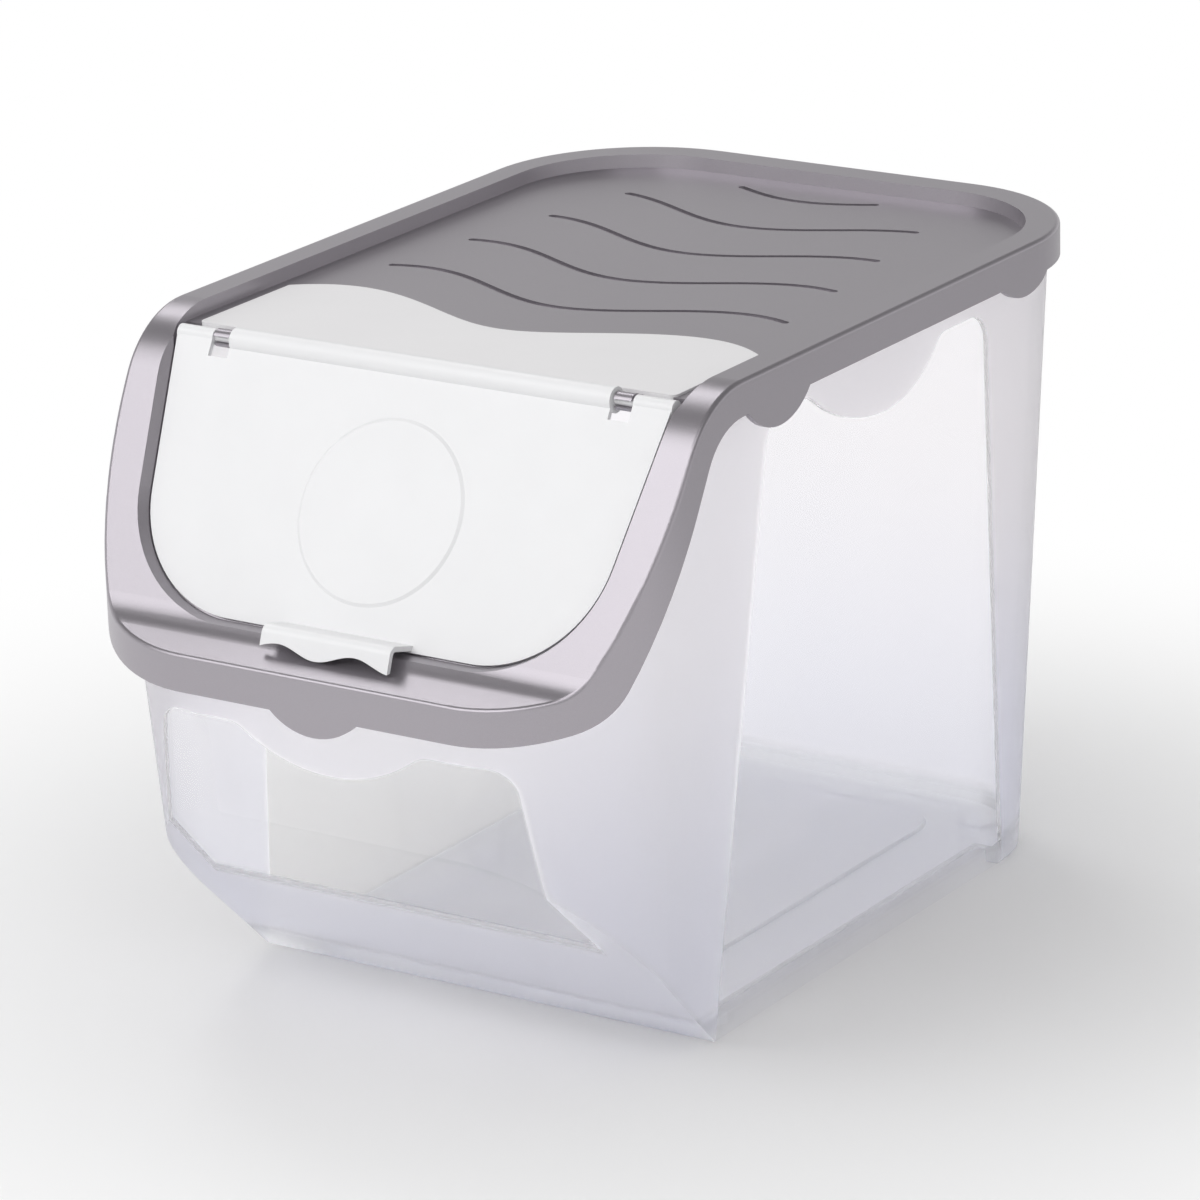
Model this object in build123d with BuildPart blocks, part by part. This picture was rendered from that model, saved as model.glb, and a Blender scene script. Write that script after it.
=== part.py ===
from build123d import *
import os
from math import cos, pi, radians, sin, tan

# Cover, overall: X is the width, -Y the front, Z up from the floor
cover_width = 282
cover_length = 424
total_height = 295
front_corner_radius = 74
rear_corner_radius = 74

# Cover, side profile: flat top, sloping mouth frame, low apron at the front edge
slope_angle = 60
apron_angle = 20
bend_setback = 83
apron_reach = 19.5
bend_radius = 45
apron_radius = 20

# Cover, walls
cover_wall = 2.5
skirt_depth = 15
crease_rounding = 2
recess_draft = 8

# Cover, sunk top panel
rim_width = 14
rear_rim_width = 16
panel_sink = 6
recess_corner_radius = 60
recess_wall = 2

# Latch lobes that hang from the skirt
lobe_radius = 31
front_lobe_depth = 8.7
near_lobe_setback = 137
near_lobe_depth = 11
far_lobe_setback = 85
far_lobe_depth = 7

# Hinge
hinge_behind_bend = 4
hinge_drop = 8.5
pin_diameter = 3.8
pin_clearance = 0.1
ear_width = 8.4
ear_wall = 1.9
ear_neck = 4
snap_slot = 3.3
window_inset = 27
window_width = 10
window_reach = 9
roll_radius = 5.5
corner_roll_margin = 0.4
hinge_gap = 0.9

# Flap
flap_surface_offset = 3.2
flap_thickness = 2.2
flap_foot_gap = 5.14
flap_corner_radius = 55
flap_side_taper = 0.125
flap_gap = 0.9
flap_bevel_draft = 30
seat_gap = 0.3
seat_width = 5
seat_thickness = 2.5

# Grip lip at the lower edge of the flap
lip_width = 64
lip_reach = 15
lip_rise = 4
lip_drop = 11
lip_lean = 4
lip_wave_length = 38
lip_wave_height = 4.2
lip_wave_shift = -4
lip_rounding = 4
lip_root_width = 3
lip_embed = 1.5
lip_overrun = 1
lip_steps = 12

# Round relief on the flap
relief_radius = 40
relief_height = 0.8
relief_draft = 60
relief_centre = 62

# Wavy lines
wave_length = 164
wave_height = 27
wave_line_width = 3.6
wave_line_depth = 1.3
wave_line_insets = (27, 34, 43, 52, 92)
wave_line_pitch = 49
first_wave_gap = 42
wave_steps = 6

# Hinge plate
plate_side_margin = 8
plate_thickness = 2
plate_pocket = 1
plate_length = 49
plate_gap = 0.2
plate_front_gap = 0.4
plate_corner_radius = 3
tab_width = 8
tab_thickness = 2.4
tab_gap = 0.1
tab_insets = (19, 79)
tab_setback = 24

# Bin
bin_side_setback = 25.2
bin_front_setback = 17.5
bin_rear_setback = 15
bin_draft = 3.2
tray_gap = 0.5
bin_wall = 2
bin_front_radius = 62
bin_rear_radius = 50
bevel_angle = 45
bevel_setback = 117
cover_seat_gap = 0.3
flange_thickness = 2.4
flange_gap = 0.8
floor_height = 8.2
floor_thickness = 2.2
foot_ring_width = 8
foot_diameter = 22
foot_side_inset = 29
foot_end_inset = 20
base_chamfer = 2.5
floor_chamfer = 3
ring_corner_radius = 20
platform_side_margin = 42.8
platform_rear_margin = 27
platform_front_margin = 35
platform_height = 1.5
platform_radius = 26
platform_draft = 30

# Places that follow from the sizes above
front = -cover_length / 2
rear = cover_length / 2
reach = cover_width + cover_length
edge_slack = 1
panel_height = total_height - panel_sink
flat_up = Vector(0, 1)
slope_up = Vector(-sin(radians(slope_angle)), cos(radians(slope_angle)))
slope_down = Vector(-cos(radians(slope_angle)), -sin(radians(slope_angle)))
apron_up = Vector(-sin(radians(apron_angle)), cos(radians(apron_angle)))
apron_down = Vector(-cos(radians(apron_angle)), -sin(radians(apron_angle)))
bend = Vector(front + bend_setback, total_height)
foot = bend + slope_down * ((bend_setback - apron_reach) / cos(radians(slope_angle)))

hinge_axis = bend + Vector(hinge_behind_bend, -hinge_drop)
flap_plane = Plane(
    origin=(0, hinge_axis.X, hinge_axis.Y),
    x_dir=(1, 0, 0),
    z_dir=(0, slope_up.X, slope_up.Y),
)
slope_height = (bend - hinge_axis).dot(slope_up)
flap_length = (foot - hinge_axis).dot(slope_down) - flap_foot_gap
flap_drop = slope_height - flap_surface_offset
seat_drop = flap_drop + flap_thickness + seat_gap
tray_drop = seat_drop + seat_thickness
cut_depth = 3 * tray_drop
beam_front = hinge_axis.X + roll_radius + hinge_gap
plate_front = hinge_axis.X + roll_radius + plate_front_gap
plate_rear = plate_front + plate_length
bevel_growth = flap_drop * tan(radians(flap_bevel_draft))
mouth_margin = flap_gap + bevel_growth
lip_root = hinge_axis + slope_up * flap_surface_offset + slope_down * (flap_length - lip_root_width)
lip_top = lip_root + Vector(-lip_reach, lip_rise)
lip_end = lip_top + Vector(-lip_lean, -lip_drop)
lip_start = lip_root - Vector(-lip_reach, lip_rise).normalized() * lip_embed
lip_out_up = Vector(lip_rise, lip_reach).normalized()
lip_down_up = Vector(-lip_drop, lip_lean).normalized()
recess_half_width = cover_width / 2 - rim_width
plate_half_width = recess_half_width - plate_side_margin
window_centre = recess_half_width - window_inset
tab_places = [side * (plate_half_width - inset) for side in (-1, 1) for inset in tab_insets]

bin_base_width = cover_width - 2 * bin_side_setback
bin_base_front = front + bin_front_setback
bin_base_rear = rear - bin_rear_setback
bin_rim_rear = rear - rear_rim_width + recess_wall + tray_gap + bin_wall
bevel_toe = front + bevel_setback


def wave(x, start):
    """Y of the wavy line at x: one shallow wave, lowest at the middle of the part."""
    return start + wave_height * sin(pi * x / wave_length) ** 2


def lowered(corner, upward_a, upward_b, drop):
    """Corner of the side profile after both of its faces move in by the drop."""
    return corner - (upward_a + upward_b) * (drop / (1 + upward_a.dot(upward_b)))


def lip_edge(x):
    """Height of the grip lip's wavy lower edge at x."""
    return lip_end.Y + lip_wave_height * sin(pi * (x - lip_wave_shift) / lip_wave_length) ** 2


def plan_outline(inset):
    """Plan of the cover, drawn in by the inset."""
    with BuildSketch() as outline:
        Rectangle(cover_width - 2 * inset, cover_length - 2 * inset)
        fillet(outline.vertices().group_by(Axis.Y)[0], front_corner_radius - inset)
        fillet(outline.vertices().group_by(Axis.Y)[-1], rear_corner_radius - inset)
    return outline.sketch


def below_profile(drop):
    """Side view of all that lies under the cover's outer surface, lowered by the drop."""
    start = Vector(rear + skirt_depth, total_height - drop)
    upper = lowered(bend, flat_up, slope_up, drop)
    lower = lowered(foot, slope_up, apron_up, drop)
    end = lower + apron_down * (apron_reach + skirt_depth) * 2
    radii = [bend_radius - drop, apron_radius + drop]
    with BuildSketch(Plane.YZ) as view:
        with BuildLine():
            FilletPolyline(start, upper, lower, end, radius=radii)
            Polyline(end, (end.X, -reach), (start.X, -reach), start)
        make_face()
    return view.sketch


def space_under(inset, drop):
    """Solid inside the plan outline and under the side profile, each drawn in."""
    with BuildPart() as space:
        extrude(plan_outline(inset), amount=total_height)
        extrude(below_profile(drop), amount=reach, both=True, mode=Mode.INTERSECT)
    return space.part


def recess_outline(grow):
    """Plan of the sunk top: parallel sides, drawn in along the mouth past the hinge."""
    half = recess_half_width + grow
    rear_edge = rear - rear_rim_width + grow
    run_end = bend.X - bend_radius * tan(radians(slope_angle / 2)) / 2
    run = (hinge_axis.X - run_end) / cos(radians(slope_angle))
    near = half - run * flap_side_taper
    with BuildSketch(Plane.XY.offset(total_height)) as outline:
        with BuildLine():
            Polyline(
                (-near, run_end),
                (-half, hinge_axis.X),
                (-half, rear_edge),
                (half, rear_edge),
                (half, hinge_axis.X),
                (near, run_end),
                close=True,
            )
        make_face()
        rear_corners = outline.vertices().group_by(Axis.Y)[-1]
        fillet(rear_corners, recess_corner_radius + grow)
    return outline.sketch


def mouth_outline(plane, margin, top):
    """Outline of the flap on its slope, grown by a margin: sides that close in, round lower corners."""
    half = recess_half_width - mouth_margin + margin
    length = flap_length + margin
    radius = flap_corner_radius + margin
    side = Vector(-flap_side_taper, -1)
    upper = Vector(half, 0) - side * top
    lower = Vector(half, 0) + side * length
    with BuildSketch(plane) as outline:
        with BuildLine():
            FilletPolyline(
                upper,
                lower,
                (-lower.X, lower.Y),
                (-upper.X, upper.Y),
                radius=radius,
            )
            Line((-upper.X, upper.Y), upper)
        make_face()
    return outline.sketch


def wavy_line(start, half_length):
    """One wavy line on the panel, of even width with round ends."""
    places = [half_length * (2 * step / wave_steps - 1) for step in range(wave_steps + 1)]
    half_width = wave_line_width / 2
    end = wave(half_length, start)
    with BuildSketch(Plane.XY.offset(panel_height)) as line:
        with BuildLine():
            for side in (-1, 1):
                Spline([(x, wave(x, start) + side * half_width) for x in places])
                tip = side * (half_length + half_width)
                near = side * half_length
                ThreePointArc((near, end - half_width), (tip, end), (near, end + half_width))
        make_face()
    return line.sketch


def plate_outline(height, grow):
    """Outline of the hinge plate: straight front edge with round corners, wavy rear edge."""
    half = plate_half_width + grow
    start = plate_rear + grow
    places = [half * (2 * step / wave_steps - 1) for step in range(wave_steps + 1)]
    with BuildSketch(Plane.XY.offset(height)) as outline:
        with BuildLine():
            Spline([(x, wave(x, start)) for x in places])
            Polyline(
                (-half, wave(half, start)),
                (-half, plate_front - grow),
                (half, plate_front - grow),
                (half, wave(half, start)),
            )
        make_face()
        front_corners = outline.vertices().group_by(Axis.Y)[0]
        fillet(front_corners, plate_corner_radius + grow)
    return outline.sketch


# Space over the sunk panel, from the rear rim to the start of the slope
with BuildPart() as sunk_top:
    extrude(recess_outline(0), amount=-cut_depth, taper=recess_draft)
    extrude(below_profile(seat_drop), amount=reach, both=True, mode=Mode.SUBTRACT)
    with BuildSketch(Plane.YZ) as panel_side:
        with Locations((beam_front, 0)):
            Rectangle(reach, panel_height, align=(Align.MIN, Align.MIN))
    extrude(amount=reach, both=True, mode=Mode.SUBTRACT)

# Space over the flap's seat, with its bevelled wall, and the opening inside the seat
flap_face = flap_plane.offset(flap_surface_offset)
seat_face = flap_plane.offset(slope_height - seat_drop)
with BuildPart() as sunk_mouth:
    extrude(mouth_outline(seat_face, flap_gap, 0), amount=seat_drop - flap_drop)
    bevel_start = mouth_outline(flap_face, flap_gap, 0)
    extrude(bevel_start, amount=2 * flap_drop, taper=-flap_bevel_draft)

with BuildPart() as mouth_opening:
    opening_face = flap_plane.offset(slope_height - cut_depth)
    extrude(mouth_outline(opening_face, -seat_width, window_width), amount=cut_depth)
    with BuildSketch(Plane.YZ):
        with Locations((beam_front, 0)):
            Rectangle(reach, reach, align=(Align.MIN, Align.MIN))
    extrude(amount=reach, both=True, mode=Mode.SUBTRACT)

# Walls of the sunk top and of the mouth, as solid blocks before they are hollowed
with BuildPart() as tray:
    extrude(recess_outline(recess_wall), amount=-cut_depth)
    tray_face = flap_plane.offset(slope_height - cut_depth)
    extrude(mouth_outline(tray_face, mouth_margin + recess_wall, 0), amount=cut_depth + tray_drop)
    extrude(below_profile(0), amount=reach, both=True, mode=Mode.INTERSECT)
    extrude(below_profile(tray_drop), amount=reach, both=True, mode=Mode.SUBTRACT)

# Latch lobes: round tongues that carry the skirt's wall further down
with BuildPart() as lobes:
    with BuildSketch(Plane.YZ):
        lobe_centre = total_height - skirt_depth + lobe_radius
        with Locations(
            (front + near_lobe_setback, lobe_centre - near_lobe_depth),
            (rear - far_lobe_setback, lobe_centre - far_lobe_depth),
        ):
            Circle(lobe_radius)
    extrude(amount=reach, both=True)
    with BuildSketch(Plane.XZ):
        front_drop = (front - foot.X) * tan(radians(apron_angle))
        front_edge = foot.Y + front_drop - skirt_depth / cos(radians(apron_angle))
        with Locations((0, front_edge - front_lobe_depth + lobe_radius)):
            Circle(lobe_radius)
    extrude(amount=reach)
    with BuildSketch():
        add(plan_outline(0))
        add(plan_outline(cover_wall), mode=Mode.SUBTRACT)
    extrude(amount=total_height, mode=Mode.INTERSECT)
    extrude(below_profile(cover_wall), amount=reach, both=True, mode=Mode.INTERSECT)


def is_crease(edge):
    """True for the edges between the top surface and the upright sides."""
    box = edge.bounding_box()
    upright = box.size.Z > skirt_depth and box.size.X + box.size.Y < edge_slack
    across = box.size.Y < edge_slack and abs(box.min.Y) < rear - edge_slack
    return box.min.Z > skirt_depth and not upright and not across


with BuildPart() as cover:
    add(space_under(0, 0))
    fillet(cover.edges().filter_by(is_crease), crease_rounding)
    add(space_under(cover_wall, cover_wall), mode=Mode.SUBTRACT)
    extrude(below_profile(skirt_depth), amount=reach, both=True, mode=Mode.SUBTRACT)
    add(lobes.part)
    add(tray.part)
    add(sunk_top.part, mode=Mode.SUBTRACT)
    add(sunk_mouth.part, mode=Mode.SUBTRACT)
    add(mouth_opening.part, mode=Mode.SUBTRACT)
    # Snap ears that hold the flap's pins
    for side in (-1, 1):
        ear_start = Plane.YZ.offset(side * window_centre - ear_width / 2)
        bore_radius = pin_diameter / 2 + pin_clearance
        with BuildSketch(ear_start):
            with Locations((hinge_axis.X, hinge_axis.Y)):
                Circle(bore_radius + ear_wall)
                neck_length = beam_front - hinge_axis.X + ear_wall
                Rectangle(neck_length, ear_neck, align=(Align.MIN, Align.CENTER))
                Circle(bore_radius, mode=Mode.SUBTRACT)
                Rectangle(reach, snap_slot, align=(Align.MAX, Align.CENTER), mode=Mode.SUBTRACT)
        extrude(amount=ear_width)
    # Wavy lines moulded in the panel
    for number, inset in enumerate(wave_line_insets):
        start = plate_rear + first_wave_gap + number * wave_line_pitch
        line = wavy_line(start, recess_half_width - inset)
        extrude(line, amount=-wave_line_depth, mode=Mode.SUBTRACT)
    # Pocket and slots for the hinge plate and its tabs
    pocket = plate_outline(panel_height, plate_gap)
    extrude(pocket, amount=-plate_pocket, mode=Mode.SUBTRACT)
    with BuildSketch(Plane.XY.offset(panel_height)):
        with Locations([(x, plate_front + tab_setback) for x in tab_places]):
            Rectangle(tab_width + 2 * tab_gap, tab_thickness + 2 * tab_gap)
    extrude(amount=-cut_depth, mode=Mode.SUBTRACT)
cover.part.label = "cover"

with BuildPart() as hinge_plate:
    plate_bottom = panel_height - plate_pocket
    extrude(plate_outline(plate_bottom, 0), amount=plate_thickness)
    underside = total_height - tray_drop
    with BuildSketch(Plane.XY.offset(plate_bottom)):
        with Locations([(x, plate_front + tab_setback) for x in tab_places]):
            Rectangle(tab_width, tab_thickness)
    extrude(amount=underside - plate_bottom)
hinge_plate.part.label = "hinge_plate"

with BuildPart() as flap:
    extrude(mouth_outline(flap_face, 0, 0), amount=-flap_thickness)
    window_inner = window_centre - window_width / 2
    window_outer = window_centre + window_width / 2
    half_width = recess_half_width - mouth_margin
    with BuildSketch(Plane.YZ.offset(-window_inner)):
        with Locations((hinge_axis.X, hinge_axis.Y)):
            Circle(roll_radius)
    extrude(amount=2 * window_inner)
    with BuildSketch(Plane.YZ.offset(-half_width)):
        with Locations((hinge_axis.X, hinge_axis.Y)):
            Circle(flap_surface_offset + corner_roll_margin)
    extrude(amount=2 * half_width)
    # Windows for the cover's ears
    with BuildSketch(flap_plane.offset(-roll_radius)):
        for side in (-1, 1):
            with Locations((side * window_centre, 0)):
                Rectangle(window_width, 2 * window_reach)
    extrude(amount=2 * roll_radius, mode=Mode.SUBTRACT)
    # Hinge pins across the windows
    with BuildSketch(Plane.YZ.offset(-window_outer - ear_wall)):
        with Locations((hinge_axis.X, hinge_axis.Y)):
            Circle(pin_diameter / 2)
    extrude(amount=2 * (window_outer + ear_wall))
    # Round relief, with a soft edge
    with BuildSketch(flap_face):
        with Locations((0, -relief_centre)):
            Circle(relief_radius)
    extrude(amount=relief_height, taper=relief_draft)
    # Grip lip: out over the rim, then down over the apron, with a wavy lower edge
    with BuildSketch(Plane.YZ.offset(-lip_width / 2)):
        with BuildLine():
            outer = FilletPolyline(lip_start, lip_top, lip_end, radius=lip_rounding)
            inner = FilletPolyline(
                lip_start - lip_out_up * flap_thickness,
                lowered(lip_top, lip_out_up, lip_down_up, flap_thickness),
                lip_end - lip_down_up * flap_thickness,
                radius=lip_rounding - flap_thickness,
            )
            Line(outer @ 0, inner @ 0)
            Line(outer @ 1, inner @ 1)
        make_face()
    extrude(amount=lip_width)
    with BuildSketch(Plane.XZ.offset(-lip_root.X + flap_thickness)):
        with BuildLine():
            half = lip_width / 2 + lip_overrun
            places = [half * (2 * step / lip_steps - 1) for step in range(lip_steps + 1)]
            edge_line = Spline([(x, lip_edge(x)) for x in places])
            low = lip_end.Y - lip_drop
            Polyline(edge_line @ 0, (-half, low), (half, low), edge_line @ 1)
        make_face()
    extrude(amount=reach, mode=Mode.SUBTRACT)
flap.part.label = "flap"


def drafted_wall_profile(plane, low_base, high_base, low_top, high_top):
    """View of the bin between two leaning walls, from the floor to its top."""
    with BuildSketch(plane) as view:
        with BuildLine():
            Polyline(
                (low_base, 0),
                (high_base, 0),
                (high_top, total_height),
                (low_top, total_height),
                close=True,
            )
        make_face()
    return view.sketch


def bin_block(inset):
    """Block between the bin's four leaning walls, drawn in by the inset, with rounded upright corners."""
    spread = total_height * tan(radians(bin_draft))
    half = bin_base_width / 2 - inset
    near = bin_base_front + inset
    far_base = bin_base_rear - inset
    far_top = bin_rim_rear - inset
    with BuildPart() as block:
        extrude(drafted_wall_profile(Plane.XZ, -half, half, -half - spread, half + spread), amount=reach, both=True)
        side_view = drafted_wall_profile(Plane.YZ, near, far_base, near - spread, far_top)
        extrude(side_view, amount=reach, both=True, mode=Mode.INTERSECT)
        corners = block.edges().filter_by(lambda edge: edge.bounding_box().size.Z > total_height / 2)
        fillet(corners.group_by(Axis.Y)[0], bin_front_radius - inset)
        corners = block.edges().filter_by(lambda edge: edge.bounding_box().size.Z > total_height / 2)
        fillet(corners.group_by(Axis.Y)[-1], bin_rear_radius - inset)
    return block.part


def bin_side(inset, floor):
    """Side view of the bin over its floor and behind its front bevel, both moved in by the inset."""
    shift = inset / sin(radians(bevel_angle))
    toe = bevel_toe + shift
    rise = tan(radians(bevel_angle))
    start_y = toe - floor / rise
    with BuildSketch(Plane.YZ) as view:
        with BuildLine():
            Polyline(
                (start_y, floor),
                (reach, floor),
                (reach, reach),
                (-reach, reach),
                (-reach, (toe + reach) * rise),
                close=True,
            )
        make_face()
    return view.sketch


def platform_outline(height, inset):
    """Rounded rectangle of the raised platform in the bin's floor."""
    platform_rear = bin_base_rear - platform_rear_margin
    platform_front = bevel_toe + platform_front_margin
    width = bin_base_width - 2 * platform_side_margin - 2 * inset
    length = platform_rear - platform_front - 2 * inset
    with BuildSketch(Plane.XY.offset(height)) as outline:
        with Locations((0, (platform_rear + platform_front) / 2)):
            RectangleRounded(width, length, platform_radius - inset)
    return outline.sketch


with BuildPart() as bin_space:
    add(bin_block(bin_wall))
    extrude(bin_side(bin_wall, floor_height), amount=reach, both=True, mode=Mode.INTERSECT)
    chamfer(bin_space.edges().group_by(Axis.Z)[0], floor_chamfer)

with BuildPart() as flange:
    add(space_under(cover_wall + flange_gap, cover_wall + cover_seat_gap))
    flange_drop = cover_wall + cover_seat_gap + flange_thickness
    extrude(below_profile(flange_drop), amount=reach, both=True, mode=Mode.SUBTRACT)

with BuildPart() as box_bin:
    add(bin_block(0))
    extrude(bin_side(0, 0), amount=reach, both=True, mode=Mode.INTERSECT)
    chamfer(box_bin.edges().group_by(Axis.Z)[0], base_chamfer)
    rim_drop = cover_wall + cover_seat_gap
    extrude(below_profile(rim_drop), amount=reach, both=True, mode=Mode.INTERSECT)
    add(flange.part)
    add(bin_space.part, mode=Mode.SUBTRACT)
    # Foot ring: the floor stands clear of the ground inside it
    with BuildSketch() as under_floor:
        ring_front = bevel_toe + foot_ring_width
        with Locations((0, bin_base_rear - foot_ring_width)):
            ring_width = bin_base_width - 2 * foot_ring_width
            ring_length = bin_base_rear - foot_ring_width - ring_front
            Rectangle(ring_width, ring_length, align=(Align.CENTER, Align.MAX))
        fillet(under_floor.vertices().group_by(Axis.Y)[0], ring_corner_radius)
        fillet(under_floor.vertices().group_by(Axis.Y)[-1], bin_rear_radius - foot_ring_width)
    extrude(amount=floor_height - floor_thickness, mode=Mode.SUBTRACT)
    # Round feet in the corners of the ring
    with BuildSketch():
        foot_x = bin_base_width / 2 - foot_side_inset
        rear_foot = bin_base_rear - foot_end_inset
        front_foot = bevel_toe + foot_end_inset
        with Locations([(x, y) for x in (-foot_x, foot_x) for y in (front_foot, rear_foot)]):
            Circle(foot_diameter / 2)
    extrude(amount=floor_height - floor_thickness)
    # Raised platform in the floor, hollow underneath
    extrude(platform_outline(floor_height, 0), amount=platform_height, taper=platform_draft)
    underside = floor_height - floor_thickness
    extrude(platform_outline(underside, floor_thickness), amount=platform_height, mode=Mode.SUBTRACT)
box_bin.part.label = "bin"

pieces = (box_bin, cover, hinge_plate, flap)
for piece in pieces:
    print(piece.part.label, piece.part.is_valid, len(piece.part.solids()), round(piece.part.volume / 1000, 1))

os.makedirs("parts", exist_ok=True)
for piece in pieces:
    export_step(piece.part, "parts/" + piece.part.label + ".step")
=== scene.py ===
from math import cos, pi, radians, sin

import bpy
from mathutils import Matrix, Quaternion, Vector


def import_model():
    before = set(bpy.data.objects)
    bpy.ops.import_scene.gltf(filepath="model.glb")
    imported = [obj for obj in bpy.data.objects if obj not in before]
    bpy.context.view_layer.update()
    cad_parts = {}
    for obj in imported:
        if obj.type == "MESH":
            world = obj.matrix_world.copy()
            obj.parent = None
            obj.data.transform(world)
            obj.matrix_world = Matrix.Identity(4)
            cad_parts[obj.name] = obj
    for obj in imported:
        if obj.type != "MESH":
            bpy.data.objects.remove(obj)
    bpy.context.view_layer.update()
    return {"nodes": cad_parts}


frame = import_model()
nodes = frame["nodes"]

# Camera of the photograph, moved in on the one box
camera_place = Vector((1.3828, -2.0611, 0.9747))
camera_aim = Vector((0, 0, 0.150))
camera_roll = -1.797
camera_lens = 181
sensor_width = 36

# Clear windows in the bin's sides, in metres: a leaning taper with a round dip in its top edge
side_face_start = 0.1
side_face_end = 0.104
side_window_middle = 0.0242
side_window_lean = -0.011
side_window_half = 0.1212
side_window_taper = 0.119
side_window_top = 0.2695
side_window_corner = 0.014
side_dip_middle = 0.028
side_dip_low = 0.2465
side_dip_front_radius = 0.100
side_dip_rear_radius = 0.052

# Clear window in the bin's front
front_face_start = -0.15
front_face_end = -0.156
front_window_half = 0.1073
front_window_taper = 0.13
front_window_top = 0.1498
front_window_corner = 0.011
front_dip_low = 0.1332
front_dip_radius = 0.072

# Edges of both kinds of window: rounding where the dip starts, and half the soft line at the edge
window_blend = 0.005
window_line = 0.0009

# Bin: frosted wall with painted shade that makes it bluish and darker low down and whiter upwards, clear
# windows, and a bluish floor that is half clear, its tint painted shade
# frost_low is painted shade: the walls are bluish and darker low down, frost_high is their plain frosted
# white
frost_low = (0.93, 0.93, 1.0, 1)
frost_high = (1.0, 0.98, 1.0, 1)
frost_low_height = 0.02
frost_high_height = 0.2
frost_cloud = (0.97, 0.97, 1.0, 1)
frost_cloud_share = 0.3
frost_roughness = 0.5
window_tint = (0.96, 0.93, 0.96, 1)
window_alpha = 0.06
window_roughness = 0.12
# Painted shade: the bin's floor is tinted a darker bluish grey where shade falls through it
bin_floor_painted_shade = (0.66, 0.68, 0.82, 1)
bin_floor_clear = 0.5
bin_floor_height = 0.012
bin_wall_height = 0.02

# Cover: silver-grey flakes over a faint cloud of two greys
flake_dark = (0.33, 0.31, 0.34, 1)
flake_light = (0.46, 0.435, 0.47, 1)
grey_dark = (0.375, 0.35, 0.38, 1)
grey_light = (0.41, 0.385, 0.415, 1)
flake_share = 0.5
metal_share = 0.85
cover_roughness_low = 0.28
cover_roughness_high = 0.36

# Flap and hinge plate: white satin plastic
flap_dark = (0.80, 0.80, 0.81, 1)
flap_light = (0.84, 0.84, 0.85, 1)
plate_dark = (0.82, 0.81, 0.82, 1)
plate_light = (0.86, 0.85, 0.86, 1)
lid_roughness_low = 0.34
lid_roughness_high = 0.4

# Fine grain of all the moulded surfaces
grain_depth = 0.0001
noise_low = 0.3
noise_high = 0.7

# Floor of the stage, just below the box
floor_radius = 6.0
floor_sides = 96
floor_height = -0.0002
floor_dark = (0.86, 0.86, 0.865, 1)
floor_light = (0.89, 0.89, 0.89, 1)
floor_roughness = 0.8

# White share of the floor: it grows with the distance from the box, and is least in its shadow
floor_fade_start = 0.1
floor_fade_end = 0.6
floor_gloss_front = -0.1
floor_gloss_rear = 0.5
floor_gloss_least = 0.1
floor_through_bin = 0.6

# Light of the world: on surfaces, and the ceiling that reflections show
white = (1, 1, 1, 1)
even_light = 0.53
ceiling_light = 0.25
ceiling_start = -0.02
ceiling_end = 0.6


class Shader:
    """Short calls that add nodes to one material."""

    def __init__(self, name):
        self.material = bpy.data.materials.new(name)
        self.material.use_nodes = True
        self.tree = self.material.node_tree
        self.surface = self.tree.nodes["Principled BSDF"]
        self.output = self.tree.nodes["Material Output"]
        self.place = self.tree.nodes.new("ShaderNodeTexCoord").outputs["Object"]
        split = self.tree.nodes.new("ShaderNodeSeparateXYZ")
        self.tree.links.new(self.place, split.inputs[0])
        self.x, self.y, self.z = split.outputs

    def put(self, socket, value):
        """Set a socket to a value, or link another node's output to it."""
        put(self.tree, socket, value)

    def math(self, operation, *values):
        """One math node on the values."""
        return math_node(self.tree, operation, *values)

    def ramp(self, value, start, end, low=0.0, high=1.0):
        """Smooth change from low to high as the value goes from start to end."""
        return ramp_node(self.tree, value, start, end, low, high)

    def noise(self, scale, detail=2.0):
        """Noise over the object's own coordinates."""
        node = self.tree.nodes.new("ShaderNodeTexNoise")
        self.put(node.inputs["Vector"], self.place)
        self.put(node.inputs["Scale"], scale)
        self.put(node.inputs["Detail"], detail)
        return node.outputs[0]

    def blend(self, share, first, second):
        """Mix of two colours."""
        node = self.tree.nodes.new("ShaderNodeMix")
        node.data_type = "RGBA"
        self.put(node.inputs["Factor"], share)
        self.put(node.inputs["A"], first)
        self.put(node.inputs["B"], second)
        return node.outputs["Result"]

    def grain(self, scale, strength):
        """Normal of a fine moulded grain."""
        node = self.tree.nodes.new("ShaderNodeBump")
        self.put(node.inputs["Height"], self.noise(scale))
        self.put(node.inputs["Distance"], grain_depth)
        self.put(node.inputs["Strength"], strength)
        return node.outputs["Normal"]

    def finish(self, **values):
        """Set the named sockets of the surface shader."""
        for name, value in values.items():
            self.put(self.surface.inputs[name.replace("_", " ")], value)
        return self.material


def put(tree, socket, value):
    """Set a socket of the tree to a value, or link another node's output to it."""
    if isinstance(value, bpy.types.NodeSocket):
        tree.links.new(value, socket)
    else:
        socket.default_value = value


def math_node(tree, operation, *values):
    """One math node of the tree on the values."""
    node = tree.nodes.new("ShaderNodeMath")
    node.operation = operation
    for socket, value in zip(node.inputs, values):
        put(tree, socket, value)
    return node.outputs[0]


def ramp_node(tree, value, start, end, low, high):
    """Smooth change from low to high as the value goes from start to end."""
    node = tree.nodes.new("ShaderNodeMapRange")
    node.interpolation_type = "SMOOTHSTEP"
    names = ("Value", "From Min", "From Max", "To Min", "To Max")
    for name, setting in zip(names, (value, start, end, low, high)):
        put(tree, node.inputs[name], setting)
    return node.outputs["Result"]


def length(shader, first, second):
    """Length of the two values taken as sides of a right angle."""
    squares = [shader.math("POWER", value, 2.0) for value in (first, second)]
    return shader.math("SQRT", shader.math("ADD", *squares))


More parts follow.
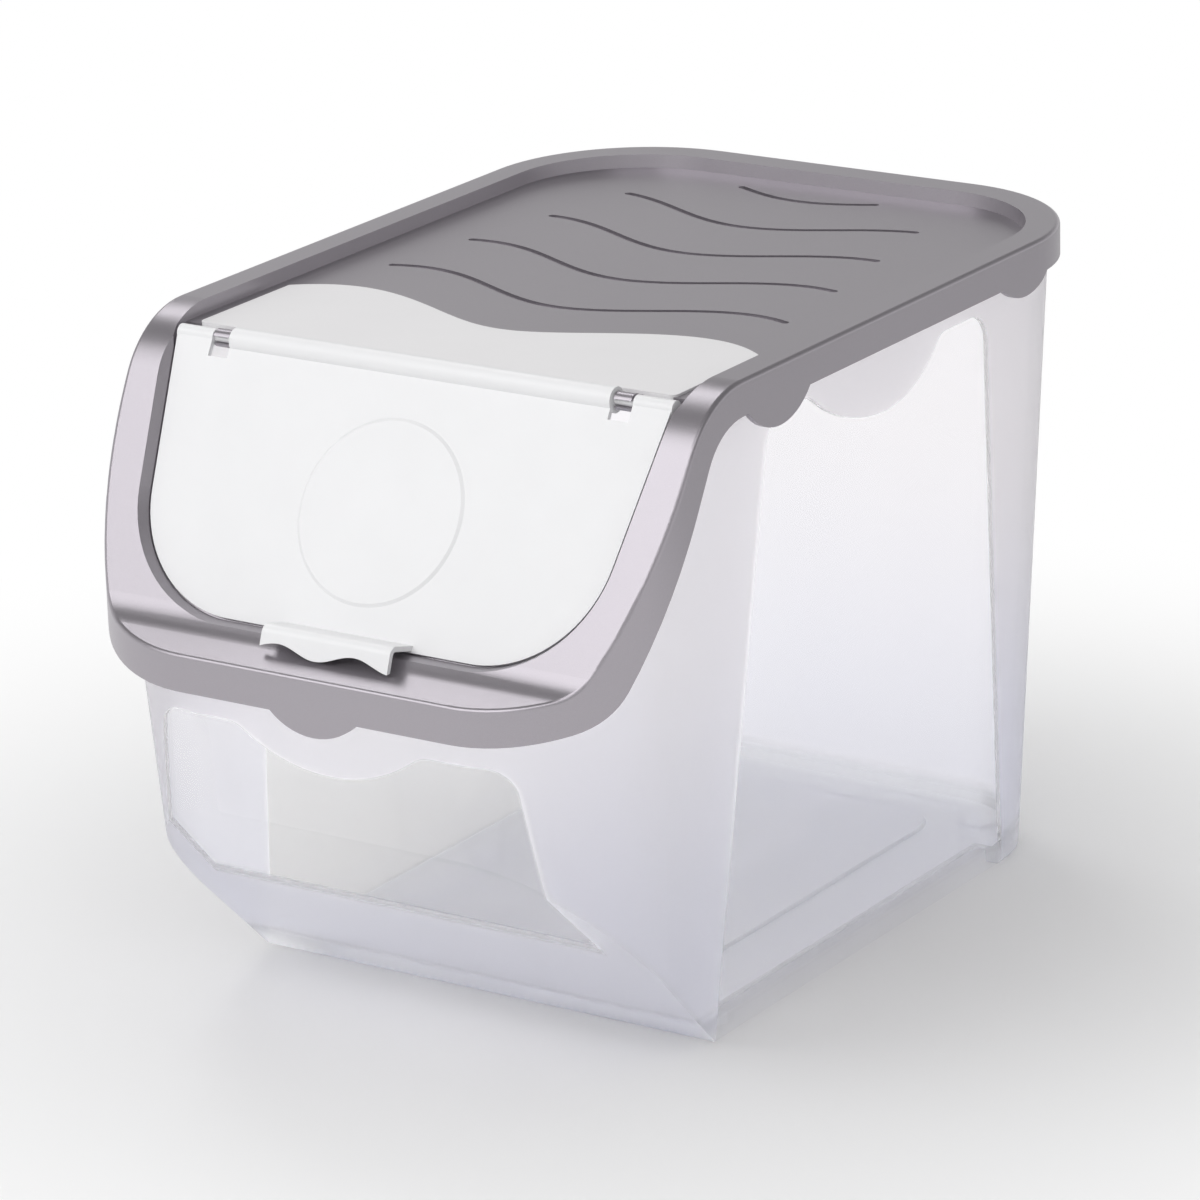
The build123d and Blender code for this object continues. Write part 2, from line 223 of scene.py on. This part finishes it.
def tapered_window(shader, across, half_width, taper, top, corner):
    """Signed distance to a window that narrows upwards and has round top corners, negative inside it."""
    narrowing = shader.math("MULTIPLY", shader.z, taper)
    from_middle = shader.math("ADD", shader.math("ABSOLUTE", across), narrowing)
    past_side = shader.math("SUBTRACT", from_middle, half_width - corner)
    past_top = shader.math("SUBTRACT", shader.z, top - corner)
    out_side = shader.math("MAXIMUM", past_side, 0.0)
    out_top = shader.math("MAXIMUM", past_top, 0.0)
    outside = length(shader, out_side, out_top)
    inside = shader.math("MINIMUM", shader.math("MAXIMUM", past_side, past_top), 0.0)
    return shader.math("SUBTRACT", shader.math("ADD", outside, inside), corner)


def dip(shader, across, low, radius):
    """Signed distance to the round dip in a window's top edge, negative inside it."""
    up = shader.math("SUBTRACT", shader.z, low + radius)
    return shader.math("SUBTRACT", length(shader, across, up), radius)


def window_mask(shader, outline, dip_outline, on_face):
    """1 inside the window's outline and out of its dip, on the one face, and 0 elsewhere."""
    out_of_dip = shader.math("MULTIPLY", dip_outline, -1.0)
    edge = shader.math("SMOOTH_MAX", outline, out_of_dip, window_blend)
    return shader.math("MULTIPLY", shader.ramp(edge, window_line, -window_line), on_face)


def side_windows(shader):
    """Mask of the clear windows in both sides."""
    lean = shader.math("MULTIPLY", shader.z, side_window_lean)
    from_middle = shader.math("SUBTRACT", shader.y, side_window_middle)
    outline = tapered_window(
        shader,
        shader.math("SUBTRACT", from_middle, lean),
        side_window_half,
        side_window_taper,
        side_window_top,
        side_window_corner,
    )
    from_dip = shader.math("SUBTRACT", shader.y, side_dip_middle)
    front_dip = dip(shader, from_dip, side_dip_low, side_dip_front_radius)
    rear_dip = dip(shader, from_dip, side_dip_low, side_dip_rear_radius)
    whole_dip = shader.math("MINIMUM", shader.math("MAXIMUM", front_dip, from_dip), rear_dip)
    on_side = shader.ramp(shader.math("ABSOLUTE", shader.x), side_face_start, side_face_end)
    return window_mask(shader, outline, whole_dip, on_side)


def front_window(shader):
    """Mask of the clear window in the front."""
    outline = tapered_window(
        shader,
        shader.x,
        front_window_half,
        front_window_taper,
        front_window_top,
        front_window_corner,
    )
    front_dip = dip(shader, shader.x, front_dip_low, front_dip_radius)
    on_front = shader.ramp(shader.y, front_face_start, front_face_end)
    return window_mask(shader, outline, front_dip, on_front)


def bin_material():
    """Translucent frosted plastic with clear windows, one moulding."""
    s = Shader("bin_plastic")
    windows = s.math("MAXIMUM", side_windows(s), front_window(s))
    bin_floor = s.ramp(s.z, bin_wall_height, bin_floor_height)
    clear = s.math("MAXIMUM", windows, s.math("MULTIPLY", bin_floor, bin_floor_clear))
    cloud = s.math("MULTIPLY", s.noise(14.0, detail=3.0), frost_cloud_share)
    # Painted shade: the frosted wall goes bluish and darker towards the bottom
    wall = s.blend(s.ramp(s.z, frost_low_height, frost_high_height), frost_low, frost_high)
    frosted = s.blend(cloud, wall, frost_cloud)
    # Painted shade on the bin's floor: a darker bluish grey blended into the clear tint
    window_tint_or_floor_shade = s.blend(bin_floor, window_tint, bin_floor_painted_shade)
    return s.finish(
        Base_Color=s.blend(clear, frosted, window_tint_or_floor_shade),
        Roughness=s.ramp(clear, 0.0, 1.0, frost_roughness, window_roughness),
        Alpha=s.ramp(clear, 0.0, 1.0, 1.0, window_alpha),
        Transmission_Weight=1.0,
        IOR=1.4,
        Normal=s.grain(700.0, strength=0.12),
    )


def cover_material():
    """Silver-grey plastic with fine metal flakes."""
    s = Shader("cover_plastic")
    flakes = s.noise(2600.0, detail=1.0)
    grey = s.blend(flakes, flake_dark, flake_light)
    cloud = s.blend(s.noise(9.0), grey_dark, grey_light)
    return s.finish(
        Base_Color=s.blend(flake_share, grey, cloud),
        Metallic=metal_share,
        Roughness=s.ramp(flakes, noise_low, noise_high, cover_roughness_low, cover_roughness_high),
        Normal=s.grain(1400.0, strength=0.2),
    )


def lid_material(name, dark, light):
    """White satin plastic."""
    s = Shader(name)
    gloss = s.noise(60.0)
    return s.finish(
        Base_Color=s.blend(s.noise(20.0, detail=3.0), dark, light),
        Roughness=s.ramp(gloss, noise_low, noise_high, lid_roughness_low, lid_roughness_high),
        IOR=1.49,
        Normal=s.grain(1200.0, strength=0.2),
    )


def dress(node, material):
    """Give a CAD node its material."""
    slots = nodes[node].data.materials
    slots.clear()
    slots.append(material)


def floor_paint():
    """Pale paint that turns into the white background away from the box."""
    s = Shader("floor_paint")
    s.finish(Base_Color=s.blend(s.noise(3.0), floor_dark, floor_light), Roughness=floor_roughness)
    distance = length(s, s.x, s.y)
    fade = s.ramp(distance, floor_fade_start, floor_fade_end)
    near = s.ramp(distance, floor_fade_start, floor_fade_end, floor_through_bin, 1.0)
    darker = s.ramp(s.y, floor_gloss_front, floor_gloss_rear, 1.0, floor_gloss_least)
    path = s.tree.nodes.new("ShaderNodeLightPath").outputs
    seen = s.math("MULTIPLY", fade, path["Is Camera Ray"])
    gloss = s.math("MULTIPLY", s.math("MULTIPLY", fade, darker), path["Is Glossy Ray"])
    through = s.math("MULTIPLY", near, path["Is Transmission Ray"])
    share = s.math("MAXIMUM", s.math("MAXIMUM", seen, gloss), through)
    background = s.tree.nodes.new("ShaderNodeEmission")
    mix = s.tree.nodes.new("ShaderNodeMixShader")
    for socket, value in zip(mix.inputs, (share, s.surface.outputs[0], background.outputs[0])):
        s.put(socket, value)
    s.put(s.output.inputs["Surface"], mix.outputs[0])
    return s.material


def floor():
    """Round pale floor under the box."""
    turns = [2 * pi * step / floor_sides for step in range(floor_sides)]
    ring = [(floor_radius * cos(turn), floor_radius * sin(turn), floor_height) for turn in turns]
    mesh = bpy.data.meshes.new("floor")
    mesh.from_pydata(ring, [], [tuple(range(floor_sides))])
    mesh.materials.append(floor_paint())
    obj = bpy.data.objects.new("floor", mesh)
    bpy.context.scene.collection.objects.link(obj)


def world():
    """Even light with a dimmer ceiling in reflections, and a white background for rays that see it."""
    sky = bpy.data.worlds.new("studio")
    sky.use_nodes = True
    tree = sky.node_tree
    path = tree.nodes.new("ShaderNodeLightPath").outputs
    split = tree.nodes.new("ShaderNodeSeparateXYZ")
    put(tree, split.inputs[0], tree.nodes.new("ShaderNodeTexCoord").outputs["Generated"])
    ceiling = ramp_node(tree, split.outputs["Z"], ceiling_start, ceiling_end, 1.0, ceiling_light)
    glossy = math_node(tree, "MULTIPLY", path["Is Glossy Ray"], ceiling)
    seen = math_node(tree, "MAXIMUM", path["Is Camera Ray"], path["Is Transmission Ray"])
    rest = math_node(tree, "SUBTRACT", 1.0, path["Is Glossy Ray"])
    even = math_node(tree, "MULTIPLY", rest, even_light)
    shown = math_node(tree, "MAXIMUM", seen, glossy)
    background = tree.nodes["Background"].inputs
    put(tree, background["Color"], white)
    put(tree, background["Strength"], math_node(tree, "MAXIMUM", shown, even))
    bpy.context.scene.world = sky


def aimed(obj, place, roll=0.0):
    """Put a light or camera at its place, pointed at the middle of the box."""
    bpy.context.scene.collection.objects.link(obj)
    obj.location = place
    turn = (camera_aim - Vector(place)).to_track_quat("-Z", "Y")
    obj.rotation_mode = "QUATERNION"
    obj.rotation_quaternion = turn @ Quaternion((0, 0, 1), radians(roll))


def soft_light(name, place, width, height, power):
    """Soft light that points at the middle of the box."""
    data = bpy.data.lights.new(name, "AREA")
    data.shape = "RECTANGLE"
    data.size = width
    data.size_y = height
    data.energy = power
    aimed(bpy.data.objects.new(name, data), place)


def camera():
    """The photograph's camera, turned to the middle of the box."""
    data = bpy.data.cameras.new("camera")
    data.lens = camera_lens
    data.sensor_width = sensor_width
    obj = bpy.data.objects.new("camera", data)
    aimed(obj, camera_place, camera_roll)
    bpy.context.scene.camera = obj


dress("bin", bin_material())
dress("cover", cover_material())
dress("flap", lid_material("flap_plastic", flap_dark, flap_light))
dress("hinge_plate", lid_material("plate_plastic", plate_dark, plate_light))
floor()
world()
soft_light("front_light", place=(-0.95, -2.1, 2.1), width=3.0, height=1.8, power=38)
soft_light("rear_light", place=(-1.38, 0.95, 2.15), width=0.9, height=0.9, power=7)
soft_light("right_light", place=(1.3, -1.9, 2.5), width=1.6, height=1.6, power=12)
camera()

bpy.context.scene.view_settings.view_transform = "Standard"
